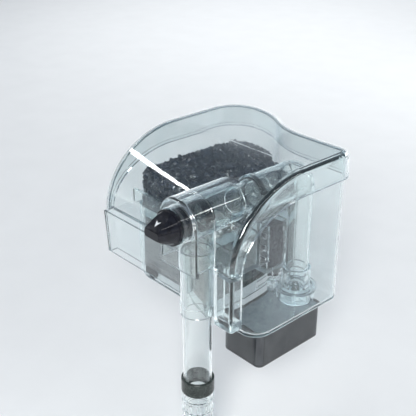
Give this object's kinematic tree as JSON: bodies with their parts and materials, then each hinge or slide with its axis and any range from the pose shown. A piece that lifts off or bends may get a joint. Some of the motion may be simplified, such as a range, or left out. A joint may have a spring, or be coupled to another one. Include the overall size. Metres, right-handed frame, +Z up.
{
  "type": "hang on back filter",
  "caption": "Clear hang-on-back aquarium filter with arched lid, overflow chute, hook leg, valve knob, intake tube with strainer and under-slung pump.",
  "frame": {"origin": "middle of the rim seat, the underside of the deck that rests on the aquarium glass", "axes": "+X along the glass, to the right seen from inside the aquarium; -Y into the aquarium; +Z up"},
  "size_m": [0.111, 0.1406, 0.1681],
  "materials": {
    "clear_body": "clear moulded styrene with a faint blue-green edge",
    "clear_lid": "clear moulded lid with bright rounded edges",
    "clear_tube": "clear tube plastic",
    "clear_inner": "clear inner plates",
    "black_plastic": "black moulded plastic, satin to gloss",
    "dark_collar": "dark collar",
    "black_rubber": "soft black rubber",
    "black_sponge": "open black foam",
    "white_floss": "white fibre floss",
    "black_carbon": "wet black carbon granules",
    "white_plastic": "plain white plastic",
    "smoky_plastic": "dark smoky plastic",
    "magnet": "sintered ferrite",
    "ceramic": "white ceramic pin",
    "core_iron": "laminated iron",
    "copper": "enamelled copper wire",
    "resin": "cast grey resin"
  },
  "bodies": {
    "body": {"body_shell": "clear_body", "glass_pads": "black_rubber", "chamber_divider": "clear_inner", "overflow_pocket": "clear_inner", "overflow_sponge": "black_sponge", "media_grid": "black_plastic", "filter_sponge": "black_sponge", "floss_pad": "white_floss", "carbon_media": "black_carbon", "hood_shroud": "clear_tube", "valve_housing": "clear_tube", "drop_sleeve": "clear_tube", "bridge_elbow": "clear_tube", "bridge_seal": "black_rubber", "impeller_cover": "clear_inner", "impeller_shaft": "ceramic", "upper_bush": "black_rubber", "lower_bush": "black_rubber", "rotor_well": "white_plastic", "motor_housing": "smoky_plastic", "stator_core": "core_iron", "coil_bobbin": "white_plastic", "coil_winding": "copper", "potting_resin": "resin", "cord_gland": "black_rubber"},
    "lid": {"lid": "clear_lid"},
    "knob": {"flow_knob": "black_plastic", "knob_oring_front": "black_rubber", "knob_oring_rear": "black_rubber"},
    "intake": {"intake_tube": "clear_tube", "tube_collar": "dark_collar", "strainer": "clear_tube", "strainer_cap": "clear_tube"},
    "rotor": {"impeller": "white_plastic", "rotor_magnet": "magnet"}
  },
  "joints": [
    {"name": "lid_lift", "type": "slide", "parent": "body", "child": "lid", "axis": [0, 0, 1], "range_m": [0, 0.05]},
    {"name": "knob_turn", "type": "hinge", "parent": "body", "child": "knob", "pos_m": [0.0305, -0.0319, 0.0284], "axis": [0, 1, 0], "range_deg": [-20, 70]},
    {"name": "intake_slide", "type": "slide", "parent": "body", "child": "intake", "axis": [0, 0, 1], "range_m": [-0.02, 0.006]},
    {"name": "impeller_spin", "type": "hinge", "parent": "body", "child": "rotor", "pos_m": [0.036, 0.057, -0.043], "axis": [0, 0, 1], "continuous": true}
  ]
}
